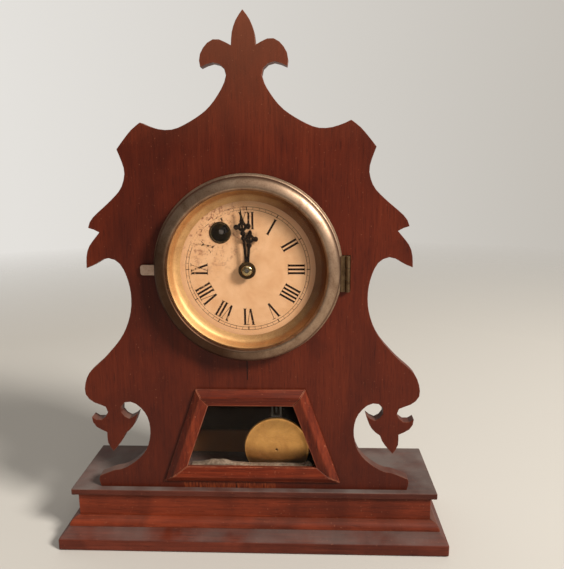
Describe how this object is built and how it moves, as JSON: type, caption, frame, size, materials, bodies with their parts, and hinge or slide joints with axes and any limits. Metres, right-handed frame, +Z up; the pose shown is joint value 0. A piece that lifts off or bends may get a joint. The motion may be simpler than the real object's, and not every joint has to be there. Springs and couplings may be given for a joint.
{
  "type": "fretwork shelf clock",
  "caption": "Shelf clock with a scroll-cut front board on a stepped plinth, hinged round bezel over a dial, glazed pendulum window and a spring-driven movement behind.",
  "frame": {"origin": "on the table, under the middle of the base", "axes": "+X to the right seen from the front, +Y from front to back, +Z up"},
  "size_m": [0.2952, 0.0874, 0.3873],
  "materials": {
    "mahogany": "aged varnish, semi-gloss",
    "dark_mahogany": "aged varnish, dusty",
    "red_mahogany": "aged varnish, semi-gloss",
    "pine": "bare, aged",
    "brass": "tarnished",
    "aged_brass": "worn nickel over brass",
    "gilt": "lacquered",
    "steel": "aged",
    "black_steel": "blackened",
    "dial": "yellowed paper on sheet metal",
    "glass": "clear"
  },
  "bodies": {
    "case": {"bottom_board": "dark_mahogany", "plinth_front": "mahogany", "plinth_back": "mahogany", "plinth_left": "mahogany", "plinth_right": "mahogany", "top_board": "dark_mahogany", "base_moulding_front": "mahogany", "base_moulding_left": "mahogany", "base_moulding_right": "mahogany", "front_board": "mahogany", "window_moulding_top": "red_mahogany", "window_moulding_right": "red_mahogany", "window_moulding_bottom": "red_mahogany", "window_moulding_left": "red_mahogany", "window_glass": "glass", "case_side_left": "mahogany", "case_side_right": "mahogany", "case_top": "mahogany", "back_board": "pine", "case_hinge_leaf": "brass", "door_hinge_pin": "steel", "dial_plate": "dial", "winding_grommet": "brass", "board_hinge_leaf": "aged_brass", "bezel_hinge_pin": "steel", "front_plate": "brass", "back_plate": "brass", "pillar_1": "steel", "pillar_2": "steel", "pillar_3": "steel", "pillar_4": "steel", "mainspring": "steel", "minute_stud": "steel", "verge_stud": "steel", "suspension_cock": "brass"},
    "bezel": {"bezel_ring": "aged_brass", "bezel_glass": "glass", "sight_ring": "gilt", "bezel_hinge_leaf": "aged_brass", "bezel_tab": "brass"},
    "rear_door": {"back_door": "pine", "back_door_knob": "brass", "door_hinge_leaf": "brass"},
    "minute_arbor": {"centre_arbor": "steel", "minute_hand": "black_steel", "hand_nut": "brass"},
    "motion_wheel": {"minute_wheel": "brass"},
    "hour_pipe": {"hour_wheel": "brass", "hour_hand": "black_steel"},
    "great_wheel": {"main_wheel": "brass"},
    "winding_click": {"click": "steel"},
    "winder": {"winding_arbor": "steel"},
    "second_wheel": {"centre_wheel": "brass"},
    "train_wheel": {"third_wheel": "brass"},
    "escapement_wheel": {"escape_wheel": "brass"},
    "escapement_verge": {"verge": "steel"},
    "pendulum": {"pendulum_rod": "steel", "bob_stirrup": "steel", "rating_nut": "brass", "pendulum_bob": "gilt"}
  },
  "joints": [
    {"name": "bezel_hinge", "type": "hinge", "parent": "case", "child": "bezel", "pos_m": [0.0709, -0.0273, 0.211], "axis": [0, 0, 1], "range_deg": [0, 105]},
    {"name": "rear_door_hinge", "type": "hinge", "parent": "case", "child": "rear_door", "pos_m": [0.061, 0.0389, 0.1017], "axis": [0, 0, -1], "range_deg": [0, 110]},
    {"name": "minute_turn", "type": "hinge", "parent": "case", "child": "minute_arbor", "pos_m": [0, -0.0249, 0.2142], "axis": [0, 1, 0], "continuous": true},
    {"name": "motion_turn", "type": "hinge", "parent": "case", "child": "motion_wheel", "pos_m": [-0.01018, 0.001, 0.20402], "axis": [0, 1, 0], "continuous": true},
    {"name": "hour_turn", "type": "hinge", "parent": "case", "child": "hour_pipe", "pos_m": [0, -0.0249, 0.2142], "axis": [0, 1, 0], "continuous": true},
    {"name": "great_wheel_turn", "type": "hinge", "parent": "case", "child": "great_wheel", "pos_m": [-0.019, 0.008, 0.2405], "axis": [0, 1, 0], "continuous": true},
    {"name": "click_lift", "type": "hinge", "parent": "great_wheel", "child": "winding_click", "pos_m": [-0.005, 0.0065, 0.2405], "axis": [0, 1, 0], "range_deg": [0, 15], "stiffness_Nm_per_rad": 0.0005},
    {"name": "winding_turn", "type": "hinge", "parent": "case", "child": "winder", "pos_m": [-0.019, -0.0149, 0.2405], "axis": [0, 1, 0], "continuous": true},
    {"name": "second_wheel_turn", "type": "hinge", "parent": "case", "child": "second_wheel", "pos_m": [0, 0.0107, 0.2142], "axis": [0, 1, 0], "continuous": true},
    {"name": "train_wheel_turn", "type": "hinge", "parent": "case", "child": "train_wheel", "pos_m": [0.022, 0.0147, 0.22217], "axis": [0, 1, 0], "continuous": true},
    {"name": "escapement_wheel_turn", "type": "hinge", "parent": "case", "child": "escapement_wheel", "pos_m": [0.0185, 0, 0.24109], "axis": [0, 1, 0], "continuous": true},
    {"name": "pendulum_swing", "type": "hinge", "parent": "case", "child": "pendulum", "pos_m": [0.0185, -0.0109, 0.26319], "axis": [0, 1, 0], "range_deg": [-3, 3]},
    {"name": "verge_swing", "type": "hinge", "parent": "case", "child": "escapement_verge", "pos_m": [0.0185, 0, 0.26319], "axis": [0, 1, 0], "range_deg": [-3, 3]}
  ],
  "couplings": [
    {"joint": "motion_turn", "follows": "minute_turn", "ratio": -0.33333},
    {"joint": "hour_turn", "follows": "minute_turn", "ratio": 0.083333},
    {"joint": "second_wheel_turn", "follows": "train_wheel_turn", "ratio": -0.083333},
    {"joint": "great_wheel_turn", "follows": "train_wheel_turn", "ratio": 0.013889},
    {"joint": "escapement_wheel_turn", "follows": "train_wheel_turn", "ratio": -11.333},
    {"joint": "verge_swing", "follows": "pendulum_swing", "ratio": 1}
  ]
}
